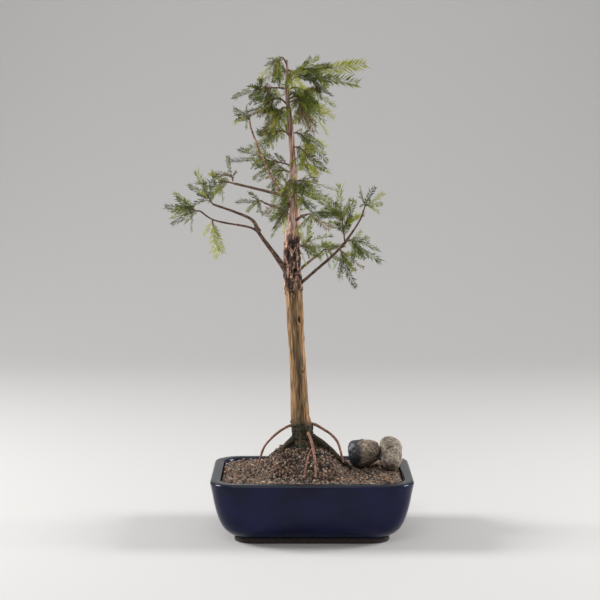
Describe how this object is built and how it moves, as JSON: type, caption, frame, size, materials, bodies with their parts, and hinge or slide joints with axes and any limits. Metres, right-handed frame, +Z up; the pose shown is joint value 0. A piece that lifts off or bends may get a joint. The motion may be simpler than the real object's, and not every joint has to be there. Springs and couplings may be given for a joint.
{
  "type": "bonsai tree",
  "caption": "Bald cypress bonsai grown as a slim formal upright with sparse flat needle sprays, in a shallow rectangular glazed pot with grit, two stones and exposed roots.",
  "frame": {"origin": "centre of the pot's flat underside", "axes": "+Z up along the trunk, -Y towards the front of the pot, +X along the pot's length to the right"},
  "size_m": [0.2459, 0.1581, 0.4827],
  "materials": {
    "glaze": "gloss",
    "grit": "matte",
    "bark": "matte",
    "root_bark": "matte",
    "foliage": "satin",
    "stone_dark": "matte",
    "stone_pale": "matte"
  },
  "bodies": {
    "root": {"bough_back": "bark", "bough_back_left": "bark", "bough_back_right": "bark", "bough_front_right": "bark", "bough_left_low": "bark", "bough_left_reach": "bark", "bough_left_rise": "bark", "bough_left_upper": "bark", "bough_left_upright": "bark", "bough_right": "bark", "bough_right_upper": "bark", "foliage_back": "foliage", "foliage_back_left": "foliage", "foliage_back_right": "foliage", "foliage_front_right": "foliage", "foliage_left_drooping": "foliage", "foliage_left_dry": "foliage", "foliage_left_low": "foliage", "foliage_left_reach": "foliage", "foliage_left_upper": "foliage", "foliage_lower_right_front": "foliage", "foliage_middle_back": "foliage", "foliage_middle_left": "foliage", "foliage_middle_left_back": "foliage", "foliage_middle_left_front": "foliage", "foliage_middle_left_hanging": "foliage", "foliage_middle_left_high": "foliage", "foliage_middle_right": "foliage", "foliage_middle_right_back": "foliage", "foliage_middle_right_front": "foliage", "foliage_middle_right_out": "foliage", "foliage_right_down": "foliage", "foliage_right_inner": "foliage", "foliage_right_out": "foliage", "foliage_right_rise": "foliage", "foliage_right_upper": "foliage", "foliage_top_back": "foliage", "foliage_top_front": "foliage", "foliage_top_left": "foliage", "foliage_top_right": "foliage", "foliage_top_right_low": "foliage", "foliage_top_twig": "foliage", "foliage_upper_left": "foliage", "foliage_upper_left_back": "foliage", "foliage_upper_left_front": "foliage", "foliage_upper_right": "foliage", "foliage_upper_right_back": "foliage", "foliage_upper_right_front": "foliage", "foliage_upper_right_low": "foliage", "foliage_upright": "foliage", "pot": "glaze", "root_front": "root_bark", "root_left": "root_bark", "root_ridge_left": "bark", "root_ridge_right": "bark", "root_right": "root_bark", "soil": "grit", "stone_dark": "stone_dark", "stone_pale": "stone_pale", "trunk": "bark"}
  },
  "joints": []
}
